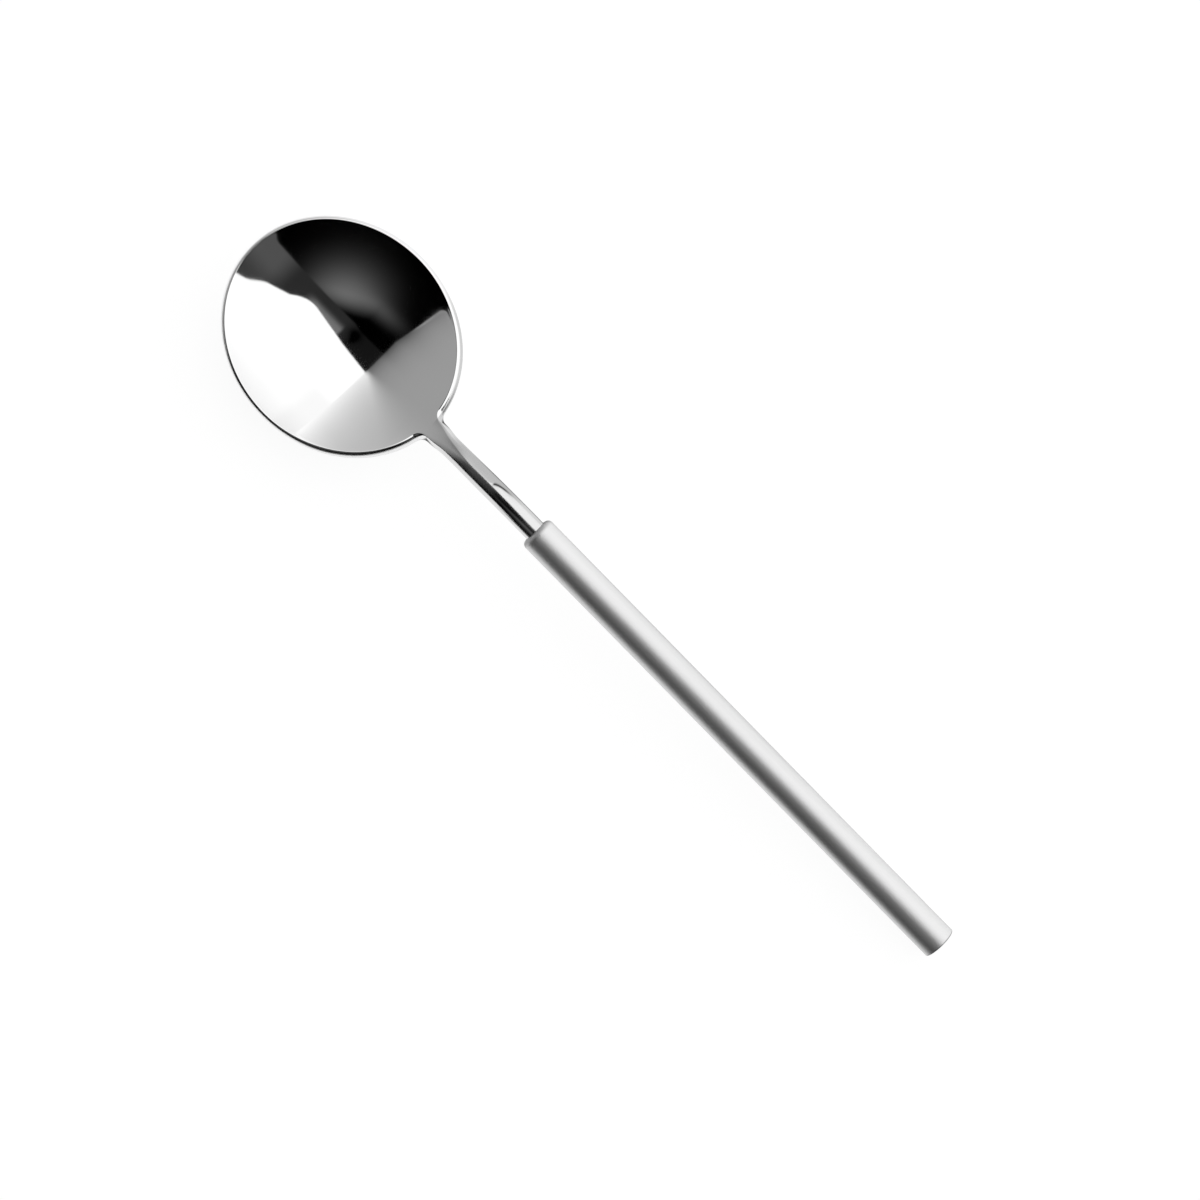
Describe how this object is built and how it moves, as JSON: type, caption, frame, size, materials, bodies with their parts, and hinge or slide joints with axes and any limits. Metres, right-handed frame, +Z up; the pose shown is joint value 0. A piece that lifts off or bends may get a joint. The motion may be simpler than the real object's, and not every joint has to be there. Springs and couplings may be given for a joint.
{
  "type": "sauce ladle",
  "caption": "Stainless steel sauce ladle: a mirror-polished oval bowl on a round bent neck, set in a straight satin tubular handle.",
  "frame": {"origin": "middle of the box around the ladle, on the table that it lies on", "axes": "+X along the length from the bowl to the handle's far end, +Z up, the ladle lying on the bowl's underside and the handle's far end"},
  "size_m": [0.2134, 0.049, 0.0199],
  "materials": {
    "polished_steel": "mirror-polished stainless steel",
    "satin_steel": "fine satin stainless steel",
    "cured_resin": "cured bonding resin, hidden inside the handle"
  },
  "bodies": {
    "root": {"bowl_and_neck": "polished_steel", "handle_tube": "satin_steel", "front_bush": "satin_steel", "tang_resin": "cured_resin", "end_plug": "satin_steel"}
  },
  "joints": []
}
